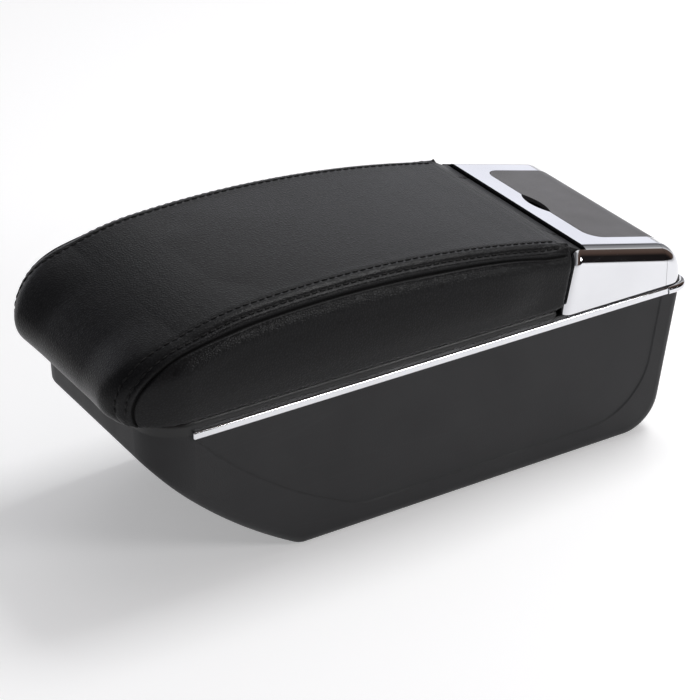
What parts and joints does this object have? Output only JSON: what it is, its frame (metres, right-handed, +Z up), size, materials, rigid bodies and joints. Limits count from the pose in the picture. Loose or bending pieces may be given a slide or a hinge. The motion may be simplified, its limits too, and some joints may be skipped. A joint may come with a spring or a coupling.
{
  "type": "car centre armrest",
  "caption": "Padded car centre armrest: hinged leather-covered lid on a moulded storage box, with chrome trim and a flip-lid ashtray module behind.",
  "frame": {"origin": "under the middle of the outline, on the floor of the box", "axes": "+Z up, +X from the lid's nose to the ashtray module, +Y across, the lid's hinge axis along Y"},
  "size_m": [0.3699, 0.15, 0.1589],
  "materials": {
    "box_plastic": "fine matt grain",
    "collar_plastic": "satin black",
    "cup_plastic": "matt black",
    "flip_lid_plastic": "satin dark grey",
    "tray_plastic": "matt black",
    "liner_plastic": "matt black",
    "leather": "fine black grain, satin",
    "foam": "open-cell grey foam",
    "chrome": "bright plated plastic",
    "steel": "plain",
    "buffer_rubber": "matt"
  },
  "bodies": {
    "base": {"storage_box": "box_plastic", "rim_frame": "collar_plastic", "side_trim_left": "chrome", "side_trim_right": "chrome", "rear_trim": "chrome", "ashtray_surround": "chrome", "rear_cap": "chrome", "ash_cup": "cup_plastic", "lid_hinge_pins": "steel", "ashtray_lid_rod": "steel", "rim_screws": "steel", "surround_screws": "steel", "rear_cap_screws": "steel", "lid_buffers": "buffer_rubber"},
    "lid": {"lid_base": "tray_plastic", "foam_pad": "foam", "leather_cover": "leather", "lid_liner": "liner_plastic", "liner_screws": "steel"},
    "ashtray_lid": {"ashtray_lid": "flip_lid_plastic"}
  },
  "joints": [
    {"name": "lid_hinge", "type": "hinge", "parent": "base", "child": "lid", "pos_m": [0.10545, 0, 0.1305], "axis": [0, 1, 0], "range_deg": [0, 65]},
    {"name": "ashtray_lid_hinge", "type": "hinge", "parent": "base", "child": "ashtray_lid", "pos_m": [0.17635, 0, 0.11025], "axis": [0, 1, 0], "range_deg": [0, 85]}
  ]
}
